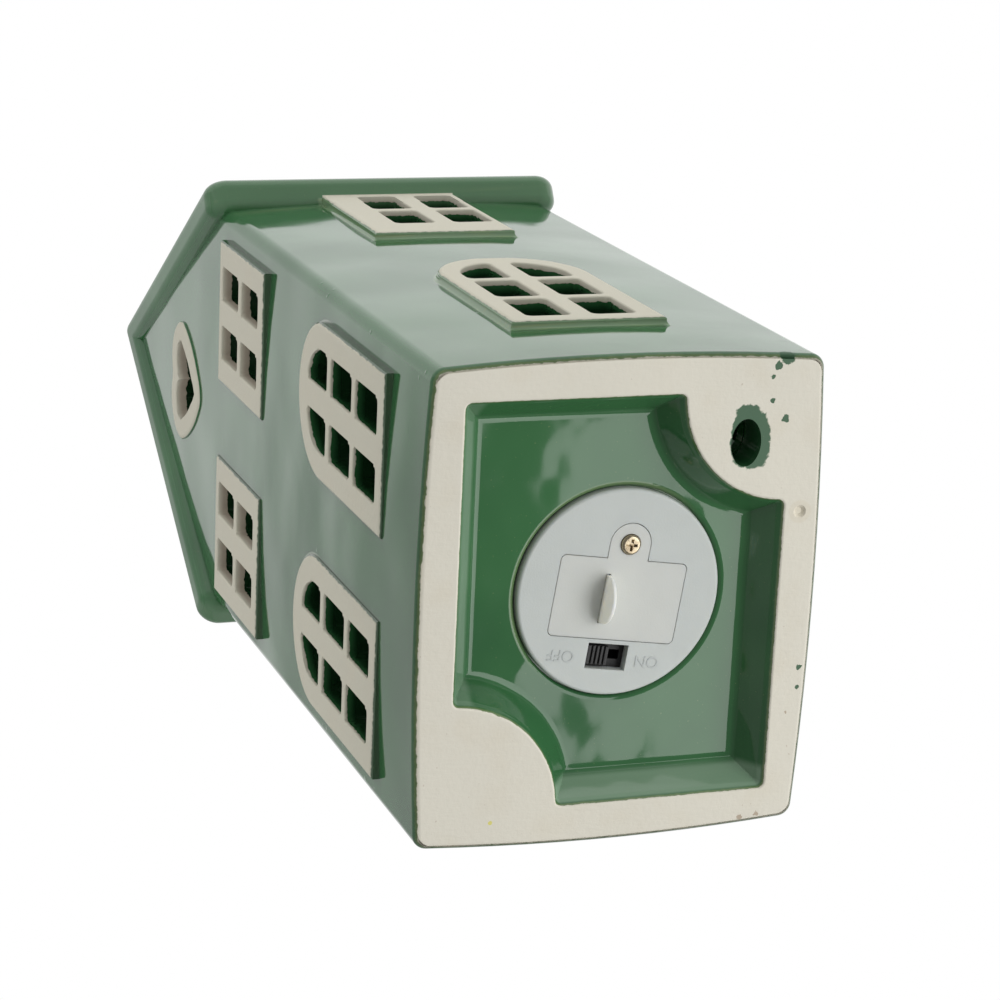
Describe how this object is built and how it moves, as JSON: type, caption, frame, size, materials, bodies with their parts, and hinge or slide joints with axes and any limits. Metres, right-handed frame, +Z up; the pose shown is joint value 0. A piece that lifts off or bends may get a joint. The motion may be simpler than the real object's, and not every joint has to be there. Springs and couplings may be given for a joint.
{
  "type": "ceramic christmas village house",
  "caption": "Tall hollow glazed ceramic village house with pierced windows, a heart in each gable and a lift-out battery light in its recessed base.",
  "frame": {"origin": "centre of the foot rim's plane, under the middle of the house", "axes": "+Z up to the roof ridge, X across the gable fronts, Y along the ridge with the pictured gable at -Y"},
  "size_m": [0.1028, 0.082, 0.2318],
  "materials": {
    "green_glaze": "glossy green glaze over off-white clay, bare on the window faces",
    "bare_clay": "unglazed off-white clay on the rim, green glaze inside the recess",
    "white_plastic": "fine satin white moulding",
    "door_plastic": "fine satin white moulding, slightly warmer",
    "ivory_film": "smooth ivory plastic strip",
    "black_plastic": "satin black moulding",
    "switch_black": "dark switch case",
    "clear_rubber": "soft pale rubber",
    "yellow_brass": "yellow passivated screw",
    "zinc_steel": "bright zinc plate",
    "cell_steel": "polished nickel plate",
    "board_laminate": "plain paper laminate",
    "lamp_resin": "clear warm resin",
    "resistor_coat": "beige lacquer",
    "wire_cover": "red insulation"
  },
  "bodies": {
    "house": {"base_rim": "bare_clay", "base_floor": "green_glaze", "front_gable": "green_glaze", "back_gable": "green_glaze", "right_wall": "green_glaze", "left_wall": "green_glaze", "right_roof": "green_glaze", "left_roof": "green_glaze"},
    "light_unit": {"light_housing": "white_plastic", "light_cap": "white_plastic", "retaining_ring": "clear_rubber", "cap_screws": "zinc_steel", "switch_body": "switch_black", "switch_terminals": "zinc_steel", "button_cell_1": "cell_steel", "button_cell_2": "cell_steel", "button_cell_3": "cell_steel", "positive_contact": "zinc_steel", "negative_contact": "zinc_steel", "circuit_board": "board_laminate", "led_lamp": "lamp_resin", "led_leads": "zinc_steel", "resistor": "resistor_coat", "switch_wires": "wire_cover"},
    "door": {"battery_door": "door_plastic"},
    "screw": {"door_screw": "yellow_brass"},
    "tab": {"battery_pull_tab": "ivory_film"},
    "slider": {"switch_slider": "black_plastic"}
  },
  "joints": [
    {"name": "light_unit_lift", "type": "slide", "parent": "house", "child": "light_unit", "axis": [0, 0, -1], "range_m": [0, 0.032]},
    {"name": "battery_door_lift", "type": "slide", "parent": "light_unit", "child": "door", "axis": [0, 0, -1], "range_m": [0, 0.012]},
    {"name": "door_screw_turn", "type": "hinge", "parent": "door", "child": "screw", "pos_m": [0.00924, 0.0038, 0.0066], "axis": [0, 0, 1], "continuous": true},
    {"name": "pull_tab_slide", "type": "slide", "parent": "light_unit", "child": "tab", "axis": [0, 0, -1], "range_m": [0, 0.0145]},
    {"name": "switch_slide", "type": "slide", "parent": "light_unit", "child": "slider", "axis": [-0.1392, 0.9903, 0], "range_m": [0, 0.0034]}
  ]
}
